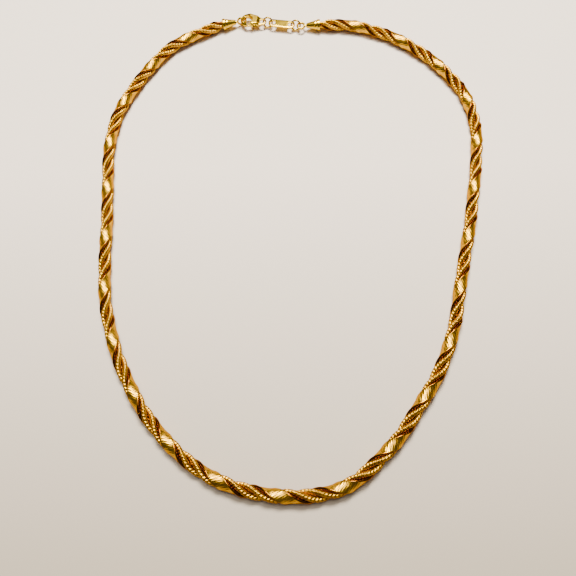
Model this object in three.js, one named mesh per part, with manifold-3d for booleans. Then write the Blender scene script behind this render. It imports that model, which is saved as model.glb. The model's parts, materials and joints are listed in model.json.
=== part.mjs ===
// A closed chain necklace lying flat on a table: a twisted chain of one ribbed band and two wire ropes,
// an end cap and an eye pin at each end, two jump rings, a tag and a lobster clasp.
// Millimetres, +Z up, +Y along the loop towards the clasp.
import * as THREE from "three";
import { mergeVertices } from "three/addons/utils/BufferGeometryUtils.js";
import Module from "manifold-3d";

const wasm = await Module();
wasm.setup();

// ---------------------------------------------------------------- driving dimensions
const clear = 0.3; // between pieces that touch

const loop = { width: 120, length: 160 }; // the chain's centre line, side to side and top to bottom
const drawn = { width: 120, length: 160 }; // the size at which the route's points are listed

const twist = { pitch: 17, firstCrown: 16.5, stepsPerTurn: 9 }; // firstCrown is from the left seat
const band = { halfWidth: 1.55, crown: 1.95, shoulder: 0.75, inner: 0.2, hollow: 0.15 };
const rope = { radius: 0.62 };

const fold = { reach: 35 }; // degrees each way about a line across the loop
const sway = { reach: 18, run: 24, lean: 7.5 }; // degrees each way, and the swaying links' rise and lean

const cap = { length: 4.8, collar: 0.9, wall: 0.32, seat: 1.6, grip: 0.68, gripLength: 5, noseRadius: 0.85 };
const leftEye = { wire: 0.7, bore: 2.2 };
const rightEye = { wire: 0.7, bore: 1.8 };
const jumpRing = { wire: 0.6, bore: 2.6, tilt: 55 };
const tag = { width: 3.2, thickness: 0.5, hole: 1.8, holeSpacing: 6.3, rim: 0.6, field: 0.12 };
const clasp = {
  headRadius: 2.8, hookRadius: 1.6, thickness: 2.2, hookThickness: 1.2,
  eyeRadius: 1.5, eyeHole: 1.9, eyeThickness: 0.6, reach: 5.1,
};
const lever = {
  pivot: [2.35, -1.1], hubRadius: 0.8, thickness: 0.8, width: 1.0, slotClear: 0.15,
  tipReach: 2.55, tipGap: 0.15, // the gate's end and the hook's end are arcs about the pin
  gateFrom: -112, gateTo: -28, mouthTo: -52, swing: 22, // degrees about the middle of the hook
};
const pin = { radius: 0.35, running: 0.07 };
const spring = { strip: 0.15, width: 0.6, open: 0.55, pocket: 0.75 };
const line = { start: [-13.5, 57.8], yaw: -10 }; // where the left eye's wire holds the clasp, and the way on
const leftCapYaw = 12;
const rightCapYaw = 0;

// ---------------------------------------------------------------- solids
const rad = THREE.MathUtils.degToRad;

function solidOf(geometry) {
  const bare = geometry.clone();
  bare.deleteAttribute("normal");
  bare.deleteAttribute("uv");
  const merged = mergeVertices(bare, 1e-4);
  return new wasm.Manifold(new wasm.Mesh({
    numProp: 3,
    vertProperties: merged.attributes.position.array,
    triVerts: new Uint32Array(merged.index.array),
  }));
}

function geometryOf(solid) {
  const mesh = solid.getMesh();
  const geometry = new THREE.BufferGeometry();
  geometry.setAttribute("position", new THREE.BufferAttribute(mesh.vertProperties, 3));
  geometry.setIndex(new THREE.BufferAttribute(mesh.triVerts, 1));
  const faceted = geometry.toNonIndexed();
  faceted.computeVertexNormals();
  return faceted;
}

function plate(shape, thickness, curveSegments = 10) {
  const geometry = new THREE.ExtrudeGeometry(shape, { depth: thickness, bevelEnabled: false, curveSegments });
  return solidOf(geometry.translate(0, 0, -thickness / 2));
}

// The main body of a cut solid, without the slivers that a cut can leave.
function mainBody(solid) {
  return solid.decompose().reduce((most, body) => (body.volume() > most.volume() ? body : most));
}

function rod(radius, height, x = 0, y = 0, segments = 16) {
  const geometry = new THREE.CylinderGeometry(radius, radius, height, segments).rotateX(Math.PI / 2);
  return solidOf(geometry.translate(x, y, 0));
}

function discShape(radius, x = 0, y = 0) {
  return new THREE.Shape().absarc(x, y, radius, 0, 2 * Math.PI);
}

const gold = {
  band: new THREE.MeshStandardMaterial({ color: 0xd8a038, roughness: 0.3, metalness: 1 }),
  rope: new THREE.MeshStandardMaterial({ color: 0xc08a2c, roughness: 0.38, metalness: 1 }),
  finding: new THREE.MeshStandardMaterial({ color: 0xe2b24c, roughness: 0.18, metalness: 1 }),
  steel: new THREE.MeshStandardMaterial({ color: 0xb9b6ae, roughness: 0.3, metalness: 1 }),
};

const necklace = new THREE.Group();

function place(parent, name, solid, material) {
  const mesh = new THREE.Mesh(geometryOf(solid), material);
  mesh.name = name;
  parent.add(mesh);
  return mesh;
}

// ---------------------------------------------------------------- where the pieces of the closure lie
// Distances along the clasp line, from the centre of the left eye's wire inside the clasp's hook.
const wireHalf = jumpRing.wire / 2;
const ringMean = (jumpRing.bore + jumpRing.wire) / 2;
const claspHead = clasp.hookRadius - leftEye.wire / 2 - clear;
const claspEye = claspHead + clasp.reach;
const ringOne = claspEye + clasp.eyeHole / 2 - clear - wireHalf + ringMean;
const tagNear = ringOne + ringMean - wireHalf - clear + tag.hole / 2;
const tagFar = tagNear + tag.holeSpacing;
const ringTwo = tagFar + tag.hole / 2 - clear - wireHalf + ringMean;
const rightEyeAt = ringTwo + ringMean - wireHalf - clear + rightEye.bore / 2;

const alongLine = new THREE.Vector2(Math.cos(rad(line.yaw)), Math.sin(rad(line.yaw)));
const lineStart = new THREE.Vector2(...line.start).multiply(
  new THREE.Vector2(loop.width / drawn.width, loop.length / drawn.length));
const onLine = (distance) => lineStart.clone().addScaledVector(alongLine, distance);

// Each cap's nose stands just behind its eye; the chain's seat is inside the cap.
function capPoints(eyeCentre, eye, outward) {
  const noseAt = eye.bore / 2 + eye.wire + clear;
  const at = (distance) => eyeCentre.clone().addScaledVector(outward, distance);
  return {
    nose: at(noseAt), mouth: at(noseAt + cap.length), seat: at(noseAt + cap.length - cap.seat),
  };
}
const direction = (yaw) => new THREE.Vector2(Math.cos(rad(yaw)), Math.sin(rad(yaw)));
const leftEyeCentre = lineStart.clone()
  .addScaledVector(direction(leftCapYaw), -(leftEye.bore + leftEye.wire) / 2);
const leftCap = capPoints(leftEyeCentre, leftEye, direction(leftCapYaw + 180));
const rightCap = capPoints(onLine(rightEyeAt), rightEye, direction(rightCapYaw));

// ---------------------------------------------------------------- the chain's route
// Rows are lines across the loop where both sides fold; the swaying links lean the same way on both sides.
const rows = { top: 45, middle: -19, bottom: -92 };
const upperSway = 8; // height of the upper links' lower ends
const lowerSway = -69; // height of the lower links' lower ends
const crownHeight = band.crown;

const stretched = (x, y) => new THREE.Vector3(
  x * loop.width / drawn.width, y * loop.length / drawn.length, crownHeight);
// A swaying link from (x, y) that leans towards `side` and rises by the run.
function linkEnds(x, y, lean) {
  const low = stretched(x, y);
  return [low, low.clone().add(new THREE.Vector3(lean, sway.run, 0))];
}
const [leftLowerC, leftLowerM] = linkEnds(-46.3, lowerSway, -sway.lean);
const [leftUpperM, leftUpperA] = linkEnds(-57.4, upperSway, sway.lean);
const [rightLowerC, rightLowerM] = linkEnds(44.2, lowerSway, sway.lean);
const [rightUpperM, rightUpperA] = linkEnds(62.2, upperSway, -sway.lean);
const atAxisHeight = (point) => new THREE.Vector3(point.x, point.y, crownHeight);

// The centre line in order, from the seat in the left cap round to the seat in the right cap.
const route = [
  { at: atAxisHeight(leftCap.seat) },
  { at: atAxisHeight(leftCap.mouth) },
  { at: stretched(-34.5, 50) },
  { at: stretched(-41, rows.top), hinge: "fold", name: "left_top" },
  { at: leftUpperA, hinge: "sway", name: "left_upper_a" },
  { at: stretched(-55.2, 20.5) },
  { at: leftUpperM, hinge: "sway", name: "left_upper_m" },
  { at: stretched(-55.7, rows.middle), hinge: "fold", name: "left_middle" },
  { at: leftLowerM, hinge: "sway", name: "left_lower_m" },
  { at: stretched(-51, -57) },
  { at: leftLowerC, hinge: "sway", name: "left_lower_c" },
  { at: stretched(-39, -81.5) },
  { at: stretched(-29.5, rows.bottom), hinge: "fold", name: "left_bottom" },
  { at: stretched(-18.5, -99.5) },
  { at: stretched(-2, -103.8) },
  { at: stretched(15, -102) },
  { at: stretched(28, rows.bottom), hinge: "fold", name: "right_bottom" },
  { at: stretched(37, -80.5) },
  { at: rightLowerC, hinge: "sway", name: "right_lower_c" },
  { at: stretched(48.8, -57) },
  { at: rightLowerM, hinge: "sway", name: "right_lower_m" },
  { at: stretched(58, rows.middle), hinge: "fold", name: "right_middle" },
  { at: rightUpperM, hinge: "sway", name: "right_upper_m" },
  { at: stretched(60.6, 20.5) },
  { at: rightUpperA, hinge: "sway", name: "right_upper_a" },
  { at: stretched(42, rows.top), hinge: "fold", name: "right_top" },
  { at: stretched(26, 53) },
  { at: atAxisHeight(rightCap.mouth) },
  { at: atAxisHeight(rightCap.seat) },
];
const centreLine = new THREE.CatmullRomCurve3(route.map((spot) => spot.at), false, "centripetal");
const perSpan = 40;
centreLine.arcLengthDivisions = perSpan * (route.length - 1);
const lengths = centreLine.getLengths();
route.forEach((spot, i) => { spot.along = lengths[i * perSpan]; });
const chainLength = lengths[lengths.length - 1];

// ---------------------------------------------------------------- strands
const bandShape = new THREE.Shape([
  new THREE.Vector2(-band.halfWidth, band.inner + band.hollow),
  new THREE.Vector2(0, band.inner),
  new THREE.Vector2(band.halfWidth, band.inner + band.hollow),
  new THREE.Vector2(band.halfWidth, band.shoulder),
  new THREE.Vector2(band.halfWidth * 0.55, (band.shoulder + 3 * band.crown) / 4),
  new THREE.Vector2(0, band.crown),
  new THREE.Vector2(-band.halfWidth * 0.55, (band.shoulder + 3 * band.crown) / 4),
  new THREE.Vector2(-band.halfWidth, band.shoulder),
]);
const ropeAside = rope.radius + clear / 2;
const ropeBelow = band.inner - band.hollow - clear - rope.radius;
const strands = [
  { name: "band", shape: bandShape, material: gold.band },
  { name: "rope_lead", shape: discShape(rope.radius, ropeAside, ropeBelow), material: gold.rope },
  { name: "rope_trail", shape: discShape(rope.radius, -ropeAside, ropeBelow), material: gold.rope },
];
const bundleRadius = Math.max(band.crown, Math.hypot(ropeAside, ropeBelow) + rope.radius,
  Math.hypot(band.halfWidth, band.shoulder));

// The strands are drawn in towards the centre line inside the caps.
function squeeze(along) {
  const fromEnd = Math.min(along, chainLength - along) / cap.gripLength;
  return cap.grip + (1 - cap.grip) * THREE.MathUtils.smoothstep(fromEnd, 0.3, 1);
}

// A straight strand, drawn along Z, wound round the centre line between two distances along it.
function wound(shape, from, to) {
  const steps = Math.max(2, Math.round((to - from) / twist.pitch * twist.stepsPerTurn));
  const geometry = new THREE.ExtrudeGeometry(shape, {
    depth: to - from, steps, bevelEnabled: false, curveSegments: 3,
  });
  const vertex = geometry.attributes.position;
  for (let i = 0; i < vertex.count; i++) {
    const along = from + vertex.getZ(i);
    const at = centreLine.getPointAt(along / chainLength);
    const ahead = centreLine.getTangentAt(along / chainLength);
    const inward = new THREE.Vector3(-ahead.y, ahead.x, 0);
    const turn = Math.PI / 2 + 2 * Math.PI * (along - twist.firstCrown) / twist.pitch;
    const x = vertex.getX(i) * squeeze(along);
    const y = vertex.getY(i) * squeeze(along);
    at.addScaledVector(inward, x * Math.sin(turn) + y * Math.cos(turn));
    at.z += y * Math.sin(turn) - x * Math.cos(turn);
    vertex.setXYZ(i, at.x, at.y, at.z);
  }
  return solidOf(geometry);
}

// Both sides of a hinge are cut back to a wedge, so that they meet flat at the end of its range.
function trimmed(solid, spot, side) {
  const half = rad((spot.hinge === "fold" ? fold.reach : sway.reach) / 2);
  const tangent = centreLine.getTangentAt(spot.along / chainLength);
  const ahead = spot.hinge === "fold" ? new THREE.Vector3(0, Math.sign(tangent.y), 0) : tangent;
  const across = spot.hinge === "fold"
    ? new THREE.Vector3(0, 0, 1) : new THREE.Vector3(-tangent.y, tangent.x, 0);
  let cut = solid;
  for (const lean of [half, -half]) {
    const normal = ahead.clone().multiplyScalar(side * Math.cos(lean)).addScaledVector(across, Math.sin(lean));
    cut = cut.trimByPlane(normal.toArray(), normal.dot(spot.at) + clear / 2);
  }
  return cut;
}

const sections = [
  "left_end", "left_shoulder", "left_upper_link", "left_side_upper", "left_side_lower", "left_lower_link",
  "left_front", "bottom", "right_front", "right_lower_link", "right_side_lower", "right_side_upper",
  "right_upper_link", "right_shoulder", "right_end",
];
const hinges = route.filter((spot) => spot.hinge);
const overrun = 2.5; // what each strand is made longer by before it is trimmed at a hinge

sections.forEach((section, i) => {
  const before = hinges[i - 1];
  const after = hinges[i];
  for (const strand of strands) {
    const from = before ? before.along - overrun : 0;
    const to = after ? after.along + overrun : chainLength;
    let solid = wound(strand.shape, from, to);
    if (before) solid = trimmed(solid, before, 1);
    if (after) solid = trimmed(solid, after, -1);
    place(necklace, `${section}_${strand.name}`, solid, strand.material);
  }
});

// ---------------------------------------------------------------- end caps and eye pins
// A turned cap: its mouth takes the gripped chain end, its nose has a hole for the eye pin.
const capBore = bundleRadius * cap.grip + clear;
const pinHole = (wire) => wire / 2 + clear;
function capSolid(eye) {
  const outer = Math.max(capBore + cap.wall, bundleRadius);
  const nose = Math.max(cap.noseRadius, pinHole(eye.wire) + cap.wall);
  const stop = cap.seat + clear;
  const profile = [
    [capBore, 0], [outer, 0], [outer, cap.collar], [outer - 0.25, cap.collar + 0.15],
    [nose, cap.length - 0.3], [nose - 0.2, cap.length], [pinHole(eye.wire), cap.length],
    [pinHole(eye.wire), cap.length - 0.7], [1.15, stop + 0.35], [capBore, stop], [capBore, 0],
  ].map(([radius, height]) => new THREE.Vector2(radius, height));
  return solidOf(new THREE.LatheGeometry(profile, 20));
}

// A wire ring with a stem that passes through the cap's nose to a head inside it.
function eyePinSolid(eye, twistTurn) {
  const mean = (eye.bore + eye.wire) / 2;
  const ring = solidOf(new THREE.TorusGeometry(mean, eye.wire / 2, 8, 20).rotateX(twistTurn));
  const stemLength = clear + 1.1;
  const stem = new THREE.CylinderGeometry(eye.wire / 2, eye.wire / 2, stemLength + eye.wire / 2, 10)
    .rotateZ(Math.PI / 2).translate(mean + (stemLength + eye.wire / 2) / 2, 0, 0);
  const head = new THREE.CylinderGeometry(eye.wire * 0.72, eye.wire * 0.72, 0.35, 10)
    .rotateZ(Math.PI / 2).translate(mean + eye.wire / 2 + stemLength, 0, 0);
  return ring.add(solidOf(stem)).add(solidOf(head));
}

function placeEnd(side, ends, eye, eyeCentre, outwardYaw, eyeTurn) {
  const group = new THREE.Group();
  group.position.set(eyeCentre.x, eyeCentre.y, crownHeight);
  group.rotation.z = rad(outwardYaw);
  necklace.add(group);
  place(group, `${side}_eye_pin`, eyePinSolid(eye, eyeTurn), gold.finding);
  const body = place(group, `${side}_end_cap`, capSolid(eye), gold.finding);
  body.rotation.z = Math.PI / 2;
  body.position.x = ends.mouth.distanceTo(eyeCentre);
}
placeEnd("left", leftCap, leftEye, leftEyeCentre, leftCapYaw + 180, Math.PI / 2);
placeEnd("right", rightCap, rightEye, onLine(rightEyeAt), rightCapYaw, 0);

// ---------------------------------------------------------------- rings and tag
const closure = new THREE.Group();
closure.position.set(lineStart.x, lineStart.y, crownHeight);
closure.rotation.z = rad(line.yaw);
necklace.add(closure);

for (const [name, centre] of [["jump_ring_clasp", ringOne], ["jump_ring_cap", ringTwo]]) {
  const torus = new THREE.TorusGeometry(ringMean, wireHalf, 8, 22);
  const ring = place(closure, name, solidOf(torus), gold.finding);
  ring.position.x = centre;
  ring.rotation.x = rad(jumpRing.tilt);
}

// A flat plate with round ends, a hole at each end and a raised rim round its middle field.
function tagSolid() {
  const half = tag.width / 2;
  const middle = (tagNear + tagFar) / 2;
  const shape = new THREE.Shape()
    .absarc(tagFar, 0, half, -Math.PI / 2, Math.PI / 2)
    .absarc(tagNear, 0, half, Math.PI / 2, 1.5 * Math.PI);
  for (const x of [tagNear, tagFar]) shape.holes.push(discShape(tag.hole / 2, x, 0));
  const blank = plate(shape, tag.thickness);
  const field = new THREE.BoxGeometry(
    tag.holeSpacing - tag.hole - tag.rim, tag.width - 2 * tag.rim, tag.thickness);
  return blank.add(solidOf(field.translate(middle, 0, tag.field)));
}
place(closure, "tag", tagSolid(), gold.finding);

// ---------------------------------------------------------------- lobster clasp
// The body lies flat: a round head with the hook, tapering to the eye.
const leverPivot = new THREE.Vector2(claspHead + lever.pivot[0], lever.pivot[1]);
const pinHoleRadius = pin.radius + pin.running;
const slotHeight = lever.thickness + 2 * lever.slotClear;

function ringSector(inner, outer, from, to, thickness) {
  const shape = new THREE.Shape()
    .absarc(0, 0, outer, rad(from), rad(to), false)
    .absarc(0, 0, inner, rad(to), rad(from), true);
  return plate(shape, thickness).translate([claspHead, 0, 0]);
}

function block(minX, maxX, minY, maxY, thickness) {
  const geometry = new THREE.BoxGeometry(maxX - minX, maxY - minY, thickness);
  return solidOf(geometry.translate((minX + maxX) / 2, (minY + maxY) / 2, 0));
}

// Side view of the body: thin at the hook and at the eye, full in the middle.
function claspSideView() {
  const [hookHalf, fullHalf, eyeHalf] = [clasp.hookThickness, clasp.thickness, clasp.eyeThickness]
    .map((thickness) => thickness / 2);
  const eyeStart = claspEye - clasp.eyeRadius;
  const upper = [
    [claspHead - clasp.headRadius - 1, hookHalf], [claspHead - clasp.hookRadius + 0.5, hookHalf],
    [claspHead + 1, fullHalf], [eyeStart - 0.3, fullHalf], [eyeStart + 0.4, eyeHalf],
    [claspEye + clasp.eyeRadius + 1, eyeHalf],
  ];
  const lower = upper.map(([x, z]) => [x, -z]).reverse();
  const outline = new THREE.Shape([...upper, ...lower].map(([x, z]) => new THREE.Vector2(x, z)));
  const depth = 2 * clasp.headRadius + 2;
  const bar = new THREE.ExtrudeGeometry(outline, { depth, bevelEnabled: false });
  return solidOf(bar.rotateX(Math.PI / 2).translate(0, depth / 2, 0));
}

function claspSolid() {
  const tall = 2 * clasp.thickness;
  const head = plate(discShape(clasp.headRadius, claspHead, 0), tall, 14);
  const eye = plate(discShape(clasp.eyeRadius, claspEye, 0), tall, 10);
  const heel = leverPivot.x + lever.hubRadius;
  const mouth = ringSector(clasp.hookRadius - 0.4, clasp.headRadius + 1, lever.gateFrom, lever.mouthTo, tall);
  const mouthReach = plate(discShape(lever.tipReach + lever.tipGap, leverPivot.x, leverPivot.y), tall, 24);
  const cuts = [
    rod(clasp.hookRadius, tall, claspHead, 0, 24),
    rod(clasp.eyeHole / 2, tall, claspEye, 0, 20),
    mouth.intersect(mouthReach),
    ringSector(clasp.hookRadius - 0.4, clasp.hookRadius + 0.3, lever.gateTo, lever.gateTo + lever.swing, slotHeight),
    plate(discShape(lever.hubRadius + lever.slotClear, leverPivot.x, leverPivot.y), slotHeight),
    ringSector(clasp.hookRadius - 0.4, clasp.headRadius + 1, lever.mouthTo - 5, lever.gateTo, slotHeight),
    block(leverPivot.x - 1.7, leverPivot.x + 0.5, leverPivot.y - 3, leverPivot.y, slotHeight),
    block(heel - 0.3, heel + spring.pocket, leverPivot.y - 0.55, leverPivot.y + 0.55, slotHeight),
    rod(pinHoleRadius, tall, leverPivot.x, leverPivot.y),
  ];
  const blank = wasm.Manifold.hull([head, eye]).intersect(claspSideView());
  return mainBody(cuts.reduce((body, cut) => body.subtract(cut), blank));
}
place(closure, "clasp_body", claspSolid(), gold.finding);

// The lever: a gate that follows the hook's round, a hub on the pin and a thumb tab.
function leverSolid() {
  const inner = clasp.hookRadius + 0.1;
  const reach = plate(discShape(lever.tipReach, leverPivot.x, leverPivot.y), lever.thickness, 24);
  const gate = ringSector(inner, inner + lever.width, lever.gateFrom, lever.gateTo, lever.thickness)
    .intersect(reach);
  const hub = plate(discShape(lever.hubRadius, leverPivot.x, leverPivot.y), lever.thickness, 12);
  const tab = new THREE.Shape([[-0.7, -0.2], [-1.0, -1.75], [-0.6, -1.95], [0.1, -0.6]]
    .map(([x, y]) => new THREE.Vector2(leverPivot.x + x, leverPivot.y + y)));
  const joined = gate.add(hub).add(plate(tab, lever.thickness));
  return joined.subtract(rod(pinHoleRadius, 2 * lever.thickness, leverPivot.x, leverPivot.y));
}
place(closure, "clasp_lever", leverSolid(), gold.finding);
place(closure, "clasp_pin", rod(pin.radius, clasp.thickness - 0.1, leverPivot.x, leverPivot.y), gold.steel);

// A strip bent to a U behind the hub, which pushes the gate shut.
function springSolid() {
  const left = leverPivot.x + lever.hubRadius + 0.08;
  const right = left + spring.open;
  const strip = new THREE.Shape([
    [left, 0.4], [left + spring.strip, 0.4], [left + spring.strip, -0.25], [right - spring.strip, -0.25],
    [right - spring.strip, 0.4], [right, 0.4], [right, -0.4], [left, -0.4],
  ].map(([x, y]) => new THREE.Vector2(x, y + leverPivot.y)));
  return plate(strip, spring.width);
}
place(closure, "clasp_spring", springSolid(), gold.steel);

// ---------------------------------------------------------------- frame
// The origin is the middle of the underside.
const box = new THREE.Box3().setFromObject(necklace);
const boxCentre = box.getCenter(new THREE.Vector3());
necklace.position.set(-boxCentre.x, -boxCentre.y, -box.min.z);

// The joints' places in the finished frame, for whoever writes the record.
const finished = (point) => point.clone().add(necklace.position).toArray();
necklace.userData.hinges = hinges.map((spot) => ({
  name: spot.name, kind: spot.hinge, at: finished(spot.at),
}));
necklace.userData.bottom = finished(centreLine.getPointAt(0.5));
necklace.userData.closure = {
  at: finished(closure.position), axis: [alongLine.x, alongLine.y, 0],
  tag: finished(new THREE.Vector3((tagNear + tagFar) / 2, 0, tag.thickness / 2 + tag.field)
    .applyEuler(closure.rotation).add(closure.position)),
  lever: finished(new THREE.Vector3(leverPivot.x, leverPivot.y, 0).applyEuler(closure.rotation).add(closure.position)),
};

export default necklace;
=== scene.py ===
import json
import math

import bmesh
import bpy
import numpy as np
from mathutils import Matrix, Vector


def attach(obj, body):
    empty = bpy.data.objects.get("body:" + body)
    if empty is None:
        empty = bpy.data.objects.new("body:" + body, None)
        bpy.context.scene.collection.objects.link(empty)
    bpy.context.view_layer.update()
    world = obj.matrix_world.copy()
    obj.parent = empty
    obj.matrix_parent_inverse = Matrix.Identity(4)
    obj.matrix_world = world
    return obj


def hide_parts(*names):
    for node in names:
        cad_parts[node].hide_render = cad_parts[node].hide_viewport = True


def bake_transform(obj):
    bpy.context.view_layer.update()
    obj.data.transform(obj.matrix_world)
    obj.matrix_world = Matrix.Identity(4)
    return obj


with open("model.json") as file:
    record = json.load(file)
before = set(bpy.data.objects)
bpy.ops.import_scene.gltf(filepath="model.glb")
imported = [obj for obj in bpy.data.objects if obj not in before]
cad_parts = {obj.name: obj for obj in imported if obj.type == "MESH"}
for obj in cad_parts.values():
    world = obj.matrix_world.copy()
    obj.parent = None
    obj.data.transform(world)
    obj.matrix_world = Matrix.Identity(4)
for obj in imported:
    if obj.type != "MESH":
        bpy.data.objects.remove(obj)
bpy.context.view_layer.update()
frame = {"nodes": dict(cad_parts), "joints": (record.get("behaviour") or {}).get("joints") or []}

# ------------------------------------------------------------------ camera
# A hand-held view, steeply down on the necklace from in front of it,
# with a slight turn about the line of sight.
mm = 0.001

eye = Vector((5.30, -90.38, 172.10)) * mm
look_at = Vector((-1.32, -23.41, 3.00)) * mm
right = Vector((0.9991, -0.0056, -0.0413))
back = (eye - look_at).normalized()
up = back.cross(right).normalized()
right = up.cross(back)
camera = bpy.data.objects.new("camera", bpy.data.cameras.new("camera"))
bpy.context.scene.collection.objects.link(camera)
camera.matrix_world = Matrix((
    (right.x, up.x, back.x, eye.x),
    (right.y, up.y, back.y, eye.y),
    (right.z, up.z, back.z, eye.z),
    (0, 0, 0, 1)))
camera.data.sensor_width = 36
camera.data.lens = 38.75
camera.data.clip_start = 0.01
camera.data.clip_end = 10
bpy.context.scene.camera = camera

# ------------------------------------------------------------------ table and light
# The necklace lies on a plain pale table, in soft daylight from a large
# window behind and to the left, with a weak fill from the front.
table = bpy.data.meshes.new("table")
half_table = 1.5
table_drop = 0.05 * mm
table.from_pydata([(-half_table, -half_table, 0), (half_table, -half_table, 0),
                   (half_table, half_table, 0), (-half_table, half_table, 0)], [], [(0, 1, 2, 3)])
floor = bpy.data.objects.new("table", table)
floor.location.z = -table_drop
bpy.context.scene.collection.objects.link(floor)

paper = bpy.data.materials.new("table_paper")
paper.use_nodes = True
paper_nodes = paper.node_tree.nodes
paper_links = paper.node_tree.links
paper_shader = paper_nodes["Principled BSDF"]
paper_shader.inputs["Roughness"].default_value = 0.75
paper_shader.inputs["Specular IOR Level"].default_value = 0.2
paper_grain = paper_nodes.new("ShaderNodeTexNoise")
paper_grain.inputs["Scale"].default_value = 900
paper_grain.inputs["Detail"].default_value = 3
paper_place = paper_nodes.new("ShaderNodeTexCoord")
paper_depth = paper_nodes.new("ShaderNodeSeparateXYZ")
# Painted shade: the paper's colour darkens from the back towards the front (negative y), standing in for
# the window's light falling off across the table.
paper_shade_ramp = paper_nodes.new("ShaderNodeMapRange")
paper_shade_ramp.inputs["From Min"].default_value = -0.16
paper_shade_ramp.inputs["From Max"].default_value = 0.02
paper_painted_shade = paper_nodes.new("ShaderNodeMix")
paper_painted_shade.data_type = "RGBA"
paper_painted_shade.inputs[6].default_value = (0.28, 0.225, 0.14, 1)
paper_painted_shade.inputs[7].default_value = (0.96, 0.84, 0.71, 1)
paper_relief = paper_nodes.new("ShaderNodeBump")
paper_relief.inputs["Distance"].default_value = 0.02 * mm
paper_relief.inputs["Strength"].default_value = 0.3
paper_links.new(paper_place.outputs["Object"], paper_grain.inputs["Vector"])
paper_links.new(paper_place.outputs["Object"], paper_depth.inputs["Vector"])
paper_links.new(paper_depth.outputs["Y"], paper_shade_ramp.inputs["Value"])
paper_links.new(paper_shade_ramp.outputs["Result"], paper_painted_shade.inputs[0])
paper_links.new(paper_painted_shade.outputs[2], paper_shader.inputs["Base Color"])
paper_links.new(paper_grain.outputs["Fac"], paper_relief.inputs["Height"])
paper_links.new(paper_relief.outputs["Normal"], paper_shader.inputs["Normal"])
table.materials.append(paper)

world = bpy.data.worlds.new("studio")
world.use_nodes = True
world.node_tree.nodes["Background"].inputs["Color"].default_value = (1.0, 0.97, 0.93, 1)
world.node_tree.nodes["Background"].inputs["Strength"].default_value = 0.12
bpy.context.scene.world = world


def soft_box(name, place, aim, width, height, watts, colour):
    light = bpy.data.lights.new(name, "AREA")
    light.shape = "RECTANGLE"
    light.size, light.size_y = width, height
    light.energy = watts
    light.color = colour
    lamp = bpy.data.objects.new(name, light)
    lamp.location = place
    lamp.rotation_euler = (Vector(aim) - Vector(place)).to_track_quat("-Z", "Y").to_euler()
    bpy.context.scene.collection.objects.link(lamp)


soft_box("window", (0.02, 0.36, 0.66), (0, 0.02, 0), 0.30, 0.20, 15.5, (1.0, 0.95, 0.88))
soft_box("ceiling", (-0.10, 0.25, 1.20), (0, 0, 0), 0.6, 0.6, 9.0, (1.0, 0.96, 0.90))


# ------------------------------------------------------------------ the chain's line
# The chain lies in one closed bend from the left cap to the right cap. Its
# hinge points come from the frame; between them it passes a few chosen places.
joint = {j["name"]: j for j in frame["joints"]}
axis_height = joint["left_top_fold"]["pos_m"][2] / mm
loop_middle = (-2.402, 22.508)
left_eye = {"wire": 0.7, "bore": 2.2, "yaw": 12}
right_eye = {"wire": 0.7, "bore": 1.8, "yaw": 0}
cap = {"length": 4.8, "seat": 1.6, "gap": 0.3}
closure_yaw = -10
hook_to_eye = 1.45
right_eye_at = 20.0
closure_start = np.array(joint["cap_ring_roll"]["pos_m"]) / mm


def heading(degrees):
    return np.array([math.cos(math.radians(degrees)), math.sin(math.radians(degrees)), 0])


def cap_places(eye_centre, ring, outward):
    nose = ring["bore"] / 2 + ring["wire"] + cap["gap"]
    return {"eye": eye_centre, "nose": eye_centre + nose * outward,
            "mouth": eye_centre + (nose + cap["length"]) * outward,
            "seat": eye_centre + (nose + cap["length"] - cap["seat"]) * outward,
            "outward": outward}


def to_vec(point):
    return Vector(point) * mm


along_closure = heading(closure_yaw)
left_ends = cap_places(closure_start - hook_to_eye * heading(left_eye["yaw"]), left_eye,
                       heading(180 + left_eye["yaw"]))
right_ends = cap_places(closure_start + right_eye_at * along_closure, right_eye, heading(right_eye["yaw"]))


def hinge_at(name):
    return np.array(joint[name]["pos_m"]) / mm


def drawn(x, y):
    return np.array([x + loop_middle[0], y + loop_middle[1], axis_height])


route = [
    left_ends["seat"], left_ends["mouth"], drawn(-34.5, 50),
    hinge_at("left_top_fold"), hinge_at("left_shoulder_sway"), drawn(-55.2, 20.5),
    hinge_at("left_upper_side_sway"), hinge_at("left_middle_fold"), hinge_at("left_lower_side_sway"),
    drawn(-51, -57), hinge_at("left_front_sway"), drawn(-39, -81.5), hinge_at("left_bottom_fold"),
    drawn(-18.5, -99.5), drawn(-2, -103.8), drawn(15, -102),
    hinge_at("right_bottom_fold"), drawn(37, -80.5), hinge_at("right_front_sway"), drawn(48.8, -57),
    hinge_at("right_lower_side_sway"), hinge_at("right_middle_fold"), hinge_at("right_upper_side_sway"),
    drawn(60.6, 20.5), hinge_at("right_shoulder_sway"), hinge_at("right_top_fold"), drawn(26, 53),
    right_ends["mouth"], right_ends["seat"],
]


def smooth_line(points, steps):
    """A centripetal curve through the points."""
    points = np.array(points)
    points = np.vstack([2 * points[0] - points[1], points, 2 * points[-1] - points[-2]])
    share = np.linspace(0, 1, steps, endpoint=False)[:, None]
    pieces = []
    for p0, p1, p2, p3 in zip(points, points[1:], points[2:], points[3:]):
        d0, d1, d2 = (math.sqrt(np.linalg.norm(b - a)) for a, b in ((p0, p1), (p1, p2), (p2, p3)))
        t1 = ((p1 - p0) / d0 - (p2 - p0) / (d0 + d1) + (p2 - p1) / d1) * d1
        t2 = ((p2 - p1) / d1 - (p3 - p1) / (d1 + d2) + (p3 - p2) / d2) * d1
        pieces.append(p1 + t1 * share + (3 * (p2 - p1) - 2 * t1 - t2) * share ** 2
                      + (2 * (p1 - p2) + t1 + t2) * share ** 3)
    return np.vstack(pieces + [points[-2][None, :]])


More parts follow.
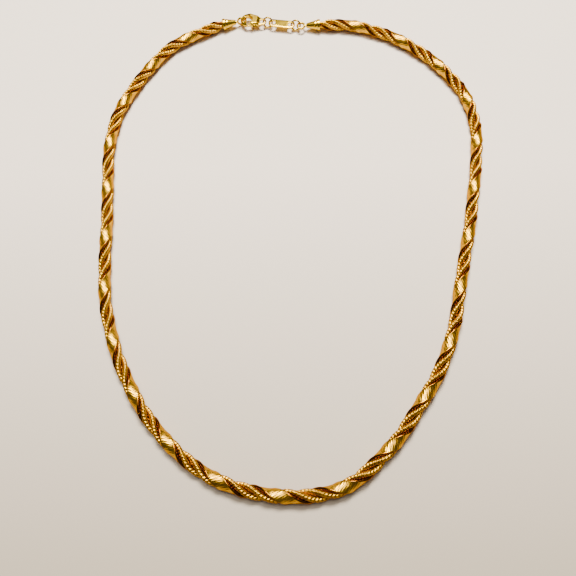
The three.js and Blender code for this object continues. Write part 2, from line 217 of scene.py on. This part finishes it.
steps_between_places = 400
line_points = smooth_line(route, steps_between_places)
line_along = np.concatenate([[0], np.cumsum(np.linalg.norm(np.diff(line_points, axis=0), axis=1))])
chain_length = line_along[-1]


def place_along(point):
    return line_along[np.argmin(np.linalg.norm(line_points - point, axis=1))]


def line_frame(along):
    """Middle, direction and inward side of the chain at these distances from the left seat."""
    near = 0.2
    centre = np.stack([np.interp(along, line_along, line_points[:, k]) for k in range(3)], axis=1)
    ahead = np.stack([np.interp(along + near, line_along, line_points[:, k])
                      - np.interp(along - near, line_along, line_points[:, k]) for k in range(3)], axis=1)
    ahead /= np.linalg.norm(ahead, axis=1)[:, None]
    inward = np.stack([-ahead[:, 1], ahead[:, 0], np.zeros(len(along))], axis=1)
    return centre, ahead, inward


# One turn of the strands about each other every 17 mm. The caps hold the ends drawn in, fully over
# the first share of the grip's length.
pitch = 17.0
first_crown = 16.5
grip = 0.68
grip_length = 5.0
grip_share = 0.3


def winding(along):
    turn = math.pi / 2 + 2 * math.pi * (along - first_crown) / pitch
    from_end = np.minimum(along, chain_length - along)
    near_end = np.clip((from_end / grip_length - grip_share) / (1 - grip_share), 0, 1)
    return turn, grip + (1 - grip) * near_end ** 2 * (3 - 2 * near_end)


def swept(name, along, section, slots):
    """A strand wound along the chain. section gives its outline's x and y, in mm, at each place:
    x is inward and y is up where the turn is a quarter."""
    x, y = section(along)
    turn, squeeze = winding(along)
    x = x * squeeze[:, None]
    y = y * squeeze[:, None]
    centre, ahead, inward = line_frame(along)
    sine, cosine = np.sin(turn)[:, None], np.cos(turn)[:, None]
    side = x * sine + y * cosine
    height = y * sine - x * cosine
    points = centre[:, None, :] + inward[:, None, :] * side[:, :, None]
    points[:, :, 2] += height
    rows, columns = x.shape
    row, column = np.meshgrid(np.arange(rows - 1), np.arange(columns), indexing="ij")
    following = (column + 1) % columns
    quads = np.stack([row * columns + column, row * columns + following,
                      (row + 1) * columns + following, (row + 1) * columns + column], axis=2).reshape(-1, 4)
    faces = quads.tolist()
    faces.append(list(range(columns))[::-1])
    faces.append(list(range((rows - 1) * columns, rows * columns)))
    mesh = bpy.data.meshes.new(name)
    mesh.from_pydata((points.reshape(-1, 3) * mm).tolist(), [], faces)
    slot_of_column = np.tile(slots, rows - 1)
    mesh.polygons.foreach_set("material_index", np.concatenate([slot_of_column, [0, 0]]).astype(np.int32))
    mesh.polygons.foreach_set("use_smooth", np.full(len(faces), True))
    mesh.update()
    made = bpy.data.objects.new(name, mesh)
    bpy.context.scene.collection.objects.link(made)
    return made


# Every hinge between two sections is spanned by one piece of each strand, from the middle of one section to
# the middle of the next.
side_hinges = ["top_fold", "shoulder_sway", "upper_side_sway", "middle_fold", "lower_side_sway",
               "front_sway", "bottom_fold"]
hinge_names = ["left_" + h for h in side_hinges] + ["right_" + h for h in reversed(side_hinges)]
section_names = ["left_end", "left_shoulder", "left_upper_link", "left_side_upper", "left_side_lower",
                 "left_lower_link", "left_front", "bottom", "right_front", "right_lower_link",
                 "right_side_lower", "right_side_upper", "right_upper_link", "right_shoulder", "right_end"]
hinge_along = [place_along(hinge_at(h)) for h in hinge_names]
section_edge = [0.0] + hinge_along + [chain_length]
section_middle = [(a + b) / 2 for a, b in zip(section_edge, section_edge[1:])]
piece_edge = [0.0] + section_middle[1:-1] + [chain_length]


def strand(kind, section, slots, materials, step, ends):
    """All pieces of one strand, each spanning its hinge."""
    for k, hinge_name in enumerate(hinge_names):
        low = max(piece_edge[k], ends)
        high = min(piece_edge[k + 1], chain_length - ends)
        along = np.linspace(low, high, int(round((high - low) / step)) + 1)
        piece = swept(f"{kind}_{hinge_name}", along, section, slots)
        for material in materials:
            piece.data.materials.append(material)
        before, after = section_names[k], section_names[k + 1]
        centre, ahead, _ = line_frame(np.array([hinge_along[k]]))
        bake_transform(piece)
        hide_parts(f"{after}_{kind}")
        if k == 0:
            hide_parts(f"{before}_{kind}")


# ------------------------------------------------------------------ metal
# All the visible pieces are gold-coloured brass alloy. The group gives a metal a colour that varies
# a little, a roughness with soft smears, and fine grain for the bump.
def group_input(group, name, kind, value):
    socket = group.interface.new_socket(name=name, in_out="INPUT", socket_type=kind)
    socket.default_value = value


def metal_wear():
    group = bpy.data.node_groups.new("metal_wear", "ShaderNodeTree")
    group_input(group, "Colour", "NodeSocketColor", (0.86, 0.58, 0.17, 1))
    group_input(group, "Shade", "NodeSocketColor", (0.70, 0.42, 0.10, 1))
    group_input(group, "Roughness", "NodeSocketFloat", 0.2)
    group_input(group, "Smear", "NodeSocketFloat", 0.1)
    for name, kind in (("Colour", "NodeSocketColor"), ("Roughness", "NodeSocketFloat"),
                       ("Height", "NodeSocketFloat")):
        group.interface.new_socket(name=name, in_out="OUTPUT", socket_type=kind)
    nodes, links = group.nodes, group.links
    given, out = nodes.new("NodeGroupInput"), nodes.new("NodeGroupOutput")
    place = nodes.new("ShaderNodeTexCoord")
    cloud = nodes.new("ShaderNodeTexNoise")
    cloud.inputs["Scale"].default_value = 700
    cloud.inputs["Detail"].default_value = 4
    tone = nodes.new("ShaderNodeMapRange")
    tone.inputs["From Min"].default_value = 0.35
    tone.inputs["From Max"].default_value = 0.7
    mix = nodes.new("ShaderNodeMix")
    mix.data_type = "RGBA"
    fine = nodes.new("ShaderNodeTexNoise")
    fine.inputs["Scale"].default_value = 5200
    fine.inputs["Detail"].default_value = 2
    smear = nodes.new("ShaderNodeMath")
    smear.operation = "MULTIPLY_ADD"
    links.new(place.outputs["Object"], cloud.inputs["Vector"])
    links.new(place.outputs["Object"], fine.inputs["Vector"])
    links.new(cloud.outputs["Fac"], tone.inputs["Value"])
    links.new(tone.outputs["Result"], mix.inputs[0])
    links.new(given.outputs["Colour"], mix.inputs[6])
    links.new(given.outputs["Shade"], mix.inputs[7])
    links.new(fine.outputs["Fac"], smear.inputs[0])
    links.new(given.outputs["Smear"], smear.inputs[1])
    links.new(given.outputs["Roughness"], smear.inputs[2])
    links.new(mix.outputs[2], out.inputs["Colour"])
    links.new(smear.outputs[0], out.inputs["Roughness"])
    links.new(fine.outputs["Fac"], out.inputs["Height"])
    return group


wear = metal_wear()
gold_edge = (0.80, 0.50, 0.18)


def metal(name, colour, shade, roughness, smear, bump=0.0006, edge=gold_edge):
    material = bpy.data.materials.new(name)
    material.use_nodes = True
    nodes, links = material.node_tree.nodes, material.node_tree.links
    shader = nodes["Principled BSDF"]
    look = nodes.new("ShaderNodeGroup")
    look.node_tree = wear
    look.inputs["Colour"].default_value = (*colour, 1)
    look.inputs["Shade"].default_value = (*shade, 1)
    look.inputs["Roughness"].default_value = roughness
    look.inputs["Smear"].default_value = smear
    relief = nodes.new("ShaderNodeBump")
    relief.inputs["Strength"].default_value = 1.0
    relief.inputs["Distance"].default_value = bump * mm
    shader.inputs["Metallic"].default_value = 1.0
    shader.inputs["Specular Tint"].default_value = (*edge, 1)
    links.new(look.outputs["Colour"], shader.inputs["Base Color"])
    links.new(look.outputs["Roughness"], shader.inputs["Roughness"])
    links.new(look.outputs["Height"], relief.inputs["Height"])
    links.new(relief.outputs["Normal"], shader.inputs["Normal"])
    return material


# ------------------------------------------------------------------ ribbed band
# A broad woven band, drawn from brass wire into a rounded strip. Its crown is finely ribbed across and
# brushed satin, and its flanks are burnished smooth and coloured far darker with painted shade, standing in
# for the dark reflections in the grooves beside the ropes. It winds with the ropes and is held in the caps.
rib_height = 0.11
rib_spacing = 0.56
rib_slant = -0.8
band_step = 0.08
end_clear = 0.05
band_foot = 0.20
rib_reach = 1.60
crown_half, crown_foot, crown_top = 1.70, 1.01, 1.76

band_outline = []
crown_steps = 32
for i in range(crown_steps + 1):
    x = crown_half - 2 * crown_half * i / crown_steps
    band_outline.append((x, crown_foot + (crown_top - crown_foot) * (1 - (x / crown_half) ** 2), 1))
right_flank = [(1.75, 0.93, 0), (1.78, 0.82, 0), (1.76, 0.68, 0), (1.70, 0.54, 0), (1.60, 0.40, 0),
               (1.46, 0.29, 0), (1.25, 0.22, 0), (0.7, band_foot, 0)]
band_outline += [(-x, y, rib) for x, y, rib in right_flank] + [(0, band_foot, 0)] + right_flank[::-1]
band_x = np.array([p[0] for p in band_outline])
band_y = np.array([p[1] for p in band_outline])
crown_share = np.array([max(0, 1 - (abs(p[0]) / rib_reach) ** 8) * p[2] for p in band_outline])


def band_section(along):
    phase = (along[:, None] + rib_slant * band_x[None, :]) / rib_spacing
    rib = np.abs(np.cos(np.pi * phase)) ** 0.8 - 1
    lift = rib_height * rib * crown_share[None, :]
    return np.broadcast_to(band_x, phase.shape), band_y[None, :] + lift


band_slots = [0] * crown_steps + [1] * (len(band_outline) - crown_steps)
satin = metal("band_satin", (0.60, 0.33, 0.018), (0.46, 0.23, 0.010), 0.22, 0.12)
# Painted shade: the flanks' colour is far darker than the crown's, standing in for shade and dark
# reflections in the grooves; only their lower roughness comes from the burnish.
flank_burnished_shaded = metal("band_flank_painted_shade", (0.24, 0.09, 0.006), (0.16, 0.05, 0.004), 0.16, 0.08)
strand("band", band_section, band_slots, [satin, flank_burnished_shaded], band_step, end_clear)

# ------------------------------------------------------------------ wire ropes
# Two ropes of five brass wires each, twisted tight. They lie side by side in the band's hollow
# and wind with it, and are held in the caps.
rope_lay = -3.8
rope_wires = 5
wire_points = 8
rope_x, rope_y = 0.87, -0.62
rope_step = 0.15
trail_phase = 0.5
wire_radius, wire_circle, rope_core = 0.31, 0.54, 0.34


def rope_section(centre_x, centre_y, phase):
    def section(along):
        around = np.arange(rope_wires * wire_points) / (rope_wires * wire_points) * 2 * np.pi
        twist = 2 * np.pi * along / rope_lay + phase
        angle = around[None, :] + 0 * along[:, None]
        share = np.pi / rope_wires
        off = (angle - twist[:, None] + share) % (2 * share) - share
        inside = np.maximum(wire_radius ** 2 - (wire_circle * np.sin(off)) ** 2, 0)
        reach = wire_circle * np.cos(off) + np.sqrt(inside) * (inside > 0) - (inside <= 0)
        radius = np.maximum(reach, rope_core)
        return centre_x + radius * np.cos(angle), centre_y + radius * np.sin(angle)
    return section


rope_gold = metal("rope_wire", (0.58, 0.31, 0.018), (0.36, 0.16, 0.008), 0.24, 0.12)
rope_slots = [0] * (rope_wires * wire_points)
strand("rope_lead", rope_section(rope_x, rope_y, 0), rope_slots, [rope_gold], rope_step, end_clear)
strand("rope_trail", rope_section(-rope_x, rope_y, trail_phase), rope_slots, [rope_gold],
       rope_step, end_clear)

# ------------------------------------------------------------------ end caps
# Turned brass caps, brightly polished. Each is slid over a chain end and crimped on it:
# a plain collar at the mouth, then a cone down to a small nose with the eye's stem in it.
def rounded(profile, fillet, steps=4):
    """A closed outline with its corners rounded."""
    out = []
    count = len(profile)
    for i in range(count):
        before, here, after = (np.array(profile[(i + k) % count], float) for k in (-1, 0, 1))
        to_before, to_after = before - here, after - here
        reach = min(fillet, np.linalg.norm(to_before) * 0.45, np.linalg.norm(to_after) * 0.45)
        a = here + to_before / np.linalg.norm(to_before) * reach
        b = here + to_after / np.linalg.norm(to_after) * reach
        for t in np.linspace(0, 1, steps + 1):
            out.append((1 - t) ** 2 * a + 2 * t * (1 - t) * here + t ** 2 * b)
    return np.array(out)


def ring_mesh(name, outline, place, segments=96):
    """A solid of revolution about its own x axis. The outline is radius and distance, in mm."""
    turn = np.linspace(0, 2 * np.pi, segments, endpoint=False)
    radius, distance = outline[:, 0], outline[:, 1]
    points = np.stack([np.broadcast_to(distance, (segments, len(outline))),
                       np.cos(turn)[:, None] * radius, np.sin(turn)[:, None] * radius], axis=2)
    count = len(outline)
    faces = []
    for i in range(segments):
        for j in range(count):
            k, n = (i + 1) % segments, (j + 1) % count
            faces.append((i * count + j, i * count + n, k * count + n, k * count + j))
    mesh = bpy.data.meshes.new(name)
    mesh.from_pydata((points.reshape(-1, 3) * mm).tolist(), [], faces)
    made = bpy.data.objects.new(name, mesh)
    bpy.context.scene.collection.objects.link(made)
    finish_mesh(made, place)
    return made


def finish_mesh(made, place=None):
    """Faces turned outward and smooth, and the mesh moved to its place."""
    sheet = bmesh.new()
    sheet.from_mesh(made.data)
    bmesh.ops.recalc_face_normals(sheet, faces=sheet.faces)
    for face in sheet.faces:
        face.smooth = True
    sheet.to_mesh(made.data)
    sheet.free()
    if place is not None:
        made.data.transform(place)
    made.data.update()


def facing(point, direction):
    """A place at a point with its x axis along a flat direction."""
    turn = math.atan2(direction[1], direction[0])
    return Matrix.Translation(to_vec(point)) @ Matrix.Rotation(turn, 4, "Z")


polished = metal("finding_polished", (0.68, 0.45, 0.022), (0.52, 0.31, 0.014), 0.20, 0.08, 0.0003)
cap_radius = 1.95
collar_length = 0.9
stem_clear = 0.08
nose_depth = 4.1
cone_inside = (1.15, 2.25)
bore = cap_radius * grip + cap["gap"]
for side, ends, eye_size in (("left", left_ends, left_eye), ("right", right_ends, right_eye)):
    stem_hole = eye_size["wire"] / 2 + stem_clear
    outline = rounded([
        (bore, 0), (cap_radius, 0), (cap_radius, collar_length), (1.68, 1.08), (0.86, 4.5),
        (0.66, cap["length"]), (stem_hole, cap["length"]), (stem_hole, nose_depth), cone_inside,
        (bore, 1.9)], 0.13)
    end_cap = ring_mesh(f"{side}_cap", outline, facing(ends["mouth"], -ends["outward"]))
    end_cap.data.materials.append(polished)
    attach(end_cap, f"{side}_end")
    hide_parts(f"{side}_end_cap")

# ------------------------------------------------------------------ eyes
# A brass wire eye stands in each cap's nose. Its ring is soldered to a short stem,
# and the stem is headed over inside the cap.
def wire_ring(name, mean, wire, place, around=96, section=20, gap=0.0):
    """A round ring of round wire in its own xy plane."""
    turn = np.linspace(0, 2 * np.pi, around, endpoint=False)
    small = np.linspace(0, 2 * np.pi, section, endpoint=False)
    pinch = 1 - gap * np.exp(-(np.angle(np.exp(1j * (turn - np.pi / 2))) / 0.035) ** 2)
    reach = wire / 2 * pinch[:, None]
    radius = mean + reach * np.cos(small)[None, :]
    points = np.stack([radius * np.cos(turn)[:, None], radius * np.sin(turn)[:, None],
                       reach * np.sin(small)[None, :]], axis=2)
    faces = []
    for i in range(around):
        for j in range(section):
            k, n = (i + 1) % around, (j + 1) % section
            faces.append((i * section + j, k * section + j, k * section + n, i * section + n))
    mesh = bpy.data.meshes.new(name)
    mesh.from_pydata((points.reshape(-1, 3) * mm).tolist(), [], faces)
    made = bpy.data.objects.new(name, mesh)
    bpy.context.scene.collection.objects.link(made)
    finish_mesh(made, place)
    return made


def modified(made, *steps):
    """The mesh with modifiers applied, each given as its kind and its settings."""
    for kind, settings in steps:
        modifier = made.modifiers.new(kind.lower(), kind)
        for key, value in settings.items():
            setattr(modifier, key, value)
    bpy.context.view_layer.update()
    evaluated = made.evaluated_get(bpy.context.evaluated_depsgraph_get())
    result = bpy.data.meshes.new_from_object(evaluated)
    made.modifiers.clear()
    made.data = result
    for polygon in result.polygons:
        polygon.use_smooth = True
    return made


def melted(made, others, voxel, smoothing):
    """One solid of several touching ones, with soft seams."""
    steps = [("BOOLEAN", {"object": other, "operation": "UNION", "solver": "EXACT"}) for other in others]
    modified(made, *steps, ("REMESH", {"mode": "VOXEL", "voxel_size": voxel * mm}),
             ("SMOOTH", {"factor": 0.5, "iterations": smoothing}))
    for other in others:
        bpy.data.objects.remove(other)
    return made


# The ring is drawn a little thick, because joining it to its stem thins it.
stem_length = 0.95
head_end = 1.5
for side, ends, eye_size, stand in (("left", left_ends, left_eye, math.pi / 2),
                                    ("right", right_ends, right_eye, 0)):
    mean = (eye_size["bore"] + eye_size["wire"]) / 2
    wire = eye_size["wire"]
    at_eye = facing(ends["eye"], ends["outward"])
    stem_radius, head_radius = wire * 0.56, wire * 0.72
    ring_edge = mean + wire / 2
    eye_piece = wire_ring(f"{side}_eye", mean, wire * 1.04, at_eye @ Matrix.Rotation(stand, 4, "X"))
    stem = ring_mesh(f"{side}_stem", rounded([
        (0.001, mean), (stem_radius, mean), (stem_radius, ring_edge + stem_length),
        (head_radius, ring_edge + 1.1), (head_radius, ring_edge + head_end),
        (0.001, ring_edge + head_end)], 0.05), at_eye, 32)
    melted(eye_piece, [stem], 0.05, 4)
    eye_piece.data.materials.append(polished)
    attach(eye_piece, f"{side}_end")
    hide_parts(f"{side}_eye_pin")

# ------------------------------------------------------------------ jump rings
# Two plain rings of round brass wire, cut, sprung open and pressed shut, with the cut just visible.
# One joins the clasp to the tag and one joins the tag to the right eye.
closure_place = facing(closure_start, along_closure)
ring_tilt = math.radians(55)
ring_mean, ring_wire = 1.6, 0.6
cut_depth = 0.35
for ring_name, body, along in (("jump_ring_clasp", "clasp_ring", 8.0), ("jump_ring_cap", "cap_ring", 18.1)):
    ring_place = closure_place @ Matrix.Translation((along * mm, 0, 0)) @ Matrix.Rotation(ring_tilt, 4, "X")
    jump_ring = wire_ring(ring_name + "_wire", ring_mean, ring_wire, ring_place, 160, 24, cut_depth)
    jump_ring.data.materials.append(polished)
    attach(jump_ring, body)
    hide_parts(ring_name)

# ------------------------------------------------------------------ tag
# A small plate stamped from brass sheet, with a hole at each end and a raised plain field.
# It hangs between the two jump rings.
def layered(name, outlines, heights):
    """A solid through a stack of outlines with the same number of points."""
    count = len(outlines[0])
    points = [(x, y, z) for outline, z in zip(outlines, heights) for x, y in outline]
    faces = [tuple(range(count))[::-1]]
    for layer in range(len(outlines) - 1):
        for i in range(count):
            n = (i + 1) % count
            faces.append((layer * count + i, layer * count + n,
                          (layer + 1) * count + n, (layer + 1) * count + i))
    faces.append(tuple(range((len(outlines) - 1) * count, len(outlines) * count)))
    mesh = bpy.data.meshes.new(name)
    mesh.from_pydata([tuple(c * mm for c in p) for p in points], [], faces)
    made = bpy.data.objects.new(name, mesh)
    bpy.context.scene.collection.objects.link(made)
    finish_mesh(made)
    return made


def capsule(x0, x1, radius_0, radius_1, steps=40):
    """The outline round two discs on the x axis."""
    lean = math.asin((radius_0 - radius_1) / (x1 - x0)) if x1 > x0 else 0
    out = []
    for t in np.linspace(-math.pi / 2 + lean, math.pi / 2 - lean, steps):
        out.append((x1 + radius_1 * math.cos(t), radius_1 * math.sin(t)))
    for t in np.linspace(math.pi / 2 - lean, 1.5 * math.pi + lean, steps):
        out.append((x0 + radius_0 * math.cos(t), radius_0 * math.sin(t)))
    return out


def box_outline(x0, x1, half, corner, steps=6):
    out = []
    for cx, cy, start in ((x1 - corner, -half + corner, -90), (x1 - corner, half - corner, 0),
                          (x0 + corner, half - corner, 90), (x0 + corner, -half + corner, 180)):
        for t in np.linspace(start, start + 90, steps):
            angle = math.radians(t)
            out.append((cx + corner * math.cos(angle), cy + corner * math.sin(angle)))
    return out


def peg(name, x, y, radius, half_height, segments=48):
    circle = [(x + radius * math.cos(t), y + radius * math.sin(t))
              for t in np.linspace(0, 2 * math.pi, segments, endpoint=False)]
    return layered(name, [circle, circle], [-half_height, half_height])


def cut(made, cutters, voxel, smoothing):
    steps = [("BOOLEAN", {"object": cutter, "operation": "DIFFERENCE", "solver": "EXACT"})
             for cutter in cutters]
    modified(made, *steps, ("REMESH", {"mode": "VOXEL", "voxel_size": voxel * mm}),
             ("SMOOTH", {"factor": 0.5, "iterations": smoothing}))
    for cutter in cutters:
        bpy.data.objects.remove(cutter)
    return made


tag_near, tag_far, tag_half = 9.9, 16.2, 1.6
tag_edge = 1.52
tag_hole = 0.9
tag_bevel = 0.05 * mm
tag_plate = layered("tag_plate", [capsule(tag_near, tag_far, radius, radius)
                                  for radius in (tag_edge, tag_half, tag_half, tag_edge)],
                    [-0.25, -0.17, 0.17, 0.25])
tag_field = layered("tag_field", [box_outline(11.1, 15.0, 1.0 + k, 0.2) for k in (0, 0, -0.08)],
                    [-0.1, 0.30, 0.37])
modified(tag_plate, ("BOOLEAN", {"object": tag_field, "operation": "UNION", "solver": "EXACT"}))
bpy.data.objects.remove(tag_field)
tag_holes = [peg("hole_near", tag_near, 0, tag_hole, 1), peg("hole_far", tag_far, 0, tag_hole, 1)]
modified(tag_plate, *[("BOOLEAN", {"object": hole, "operation": "DIFFERENCE", "solver": "EXACT"})
                      for hole in tag_holes],
         ("BEVEL", {"width": tag_bevel, "segments": 3, "limit_method": "ANGLE",
                    "angle_limit": math.radians(50)}), ("TRIANGULATE", {"quad_method": "FIXED"}),
         ("WEIGHTED_NORMAL", {"keep_sharp": False}))
for hole in tag_holes:
    bpy.data.objects.remove(hole)
tag_plate.data.transform(closure_place)
tag_plate.data.materials.append(polished)
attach(tag_plate, "tag")
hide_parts("tag")

# ------------------------------------------------------------------ lobster clasp
# A cast and polished brass body: a round hook that tapers into a flat eye. A slot in its side holds
# the lever on a steel pin, and a bent steel strip behind the lever pushes it shut.
head_x, eye_x = 0.95, 6.05
pivot = (3.30, -1.10)
tip_reach = 2.55
tip_gap = 0.17
full_half = 1.08
blank_radius, blank_eye = 2.8, 1.5
hook_hole, eye_hole = 1.56, 0.95
lever_half = 0.4


def thinned(made):
    """The body made thin at the hook and thinner at the eye."""
    places = [-0.3, 0.5, 1.4, 4.2, 4.6, 5.0]
    shares = [0.57, 0.72, 1, 1, 0.62, 0.29]
    for vertex in made.data.vertices:
        share = np.interp(vertex.co.x / mm, places, shares)
        vertex.co.z *= float(share)


def pebble(name, layers=9, edge=0.7):
    """The body's rounded blank."""
    tilt = np.linspace(-math.pi / 2, math.pi / 2, layers)
    outlines = []
    for angle in tilt:
        inset = edge * (1 - math.cos(angle))
        outlines.append(capsule(head_x, eye_x, blank_radius - inset, blank_eye - inset * 0.6, 56))
    return layered(name, outlines, [full_half * math.sin(angle) for angle in tilt])


def sector_outline(inner, outer, low, high, steps=24):
    arc = [math.radians(low + (high - low) * i / steps) for i in range(steps + 1)]
    return [(head_x + outer * math.cos(t), outer * math.sin(t)) for t in arc] + \
           [(head_x + inner * math.cos(t), inner * math.sin(t)) for t in reversed(arc)]


def trimmed_sector(name, inner, outer, low, high, half_height, reach):
    made = layered(name, [sector_outline(inner, outer, low, high)] * 2, [-half_height, half_height])
    disc = peg(name + "_reach", pivot[0], pivot[1], reach, half_height * 2, 96)
    modified(made, ("BOOLEAN", {"object": disc, "operation": "INTERSECT", "solver": "EXACT"}))
    bpy.data.objects.remove(disc)
    return made


clasp_piece = pebble("clasp_casting")
slot_half = 0.55
cut(clasp_piece, [
    peg("hook_hole", head_x, 0, hook_hole, 3, 96),
    peg("eye_hole", eye_x, 0, eye_hole, 3, 64),
    trimmed_sector("mouth", 1.1, 4.0, -112, -52, 3, tip_reach + tip_gap),
    layered("slot", [sector_outline(1.2, 3.8, -57, -28)] * 2, [-slot_half, slot_half]),
    layered("slot_rise", [sector_outline(1.2, 1.9, -30, -6)] * 2, [-slot_half, slot_half]),
    peg("hub_room", pivot[0], pivot[1], 0.95, slot_half),
    layered("thumb_room", [[(1.6, -4.1), (3.8, -4.1), (3.8, -1.1), (1.6, -1.1)]] * 2,
            [-slot_half, slot_half]),
    layered("spring_room", [[(3.8, -1.65), (4.85, -1.65), (4.85, -0.55), (3.8, -0.55)]] * 2,
            [-slot_half, slot_half]),
], 0.05, 2)
thinned(clasp_piece)
modified(clasp_piece, ("SMOOTH", {"factor": 0.5, "iterations": 10}))
clasp_piece.data.transform(closure_place)
clasp_piece.data.materials.append(polished)
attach(clasp_piece, "clasp")
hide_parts("clasp_body")

lever_piece = trimmed_sector("lever_gate", 1.7, 2.7, -112, -28, lever_half, tip_reach)
melted(lever_piece, [
    peg("lever_hub", pivot[0], pivot[1], 0.8, lever_half),
    layered("lever_thumb", [[(2.3, -2.85), (2.7, -3.05), (3.4, -1.7), (2.6, -1.3)]] * 2,
            [-lever_half, lever_half])], 0.05, 4)
lever_piece.data.transform(closure_place)
lever_piece.data.materials.append(polished)
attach(lever_piece, "lever")
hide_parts("clasp_lever")

# ------------------------------------------------------------------ pin and spring
# The lever turns on a short steel pin, riveted through the body, and a strip of hard spring steel
# lies bent behind it. Both keep their drawn steel surface.
steel_edge = (0.90, 0.90, 0.90)
steel = metal("drawn_steel", (0.52, 0.51, 0.49), (0.38, 0.37, 0.35), 0.22, 0.14, 0.0008, steel_edge)
for node_name in ("clasp_pin", "clasp_spring"):
    steel_part = frame["nodes"][node_name]
    steel_part.data.materials.clear()
    steel_part.data.materials.append(steel)
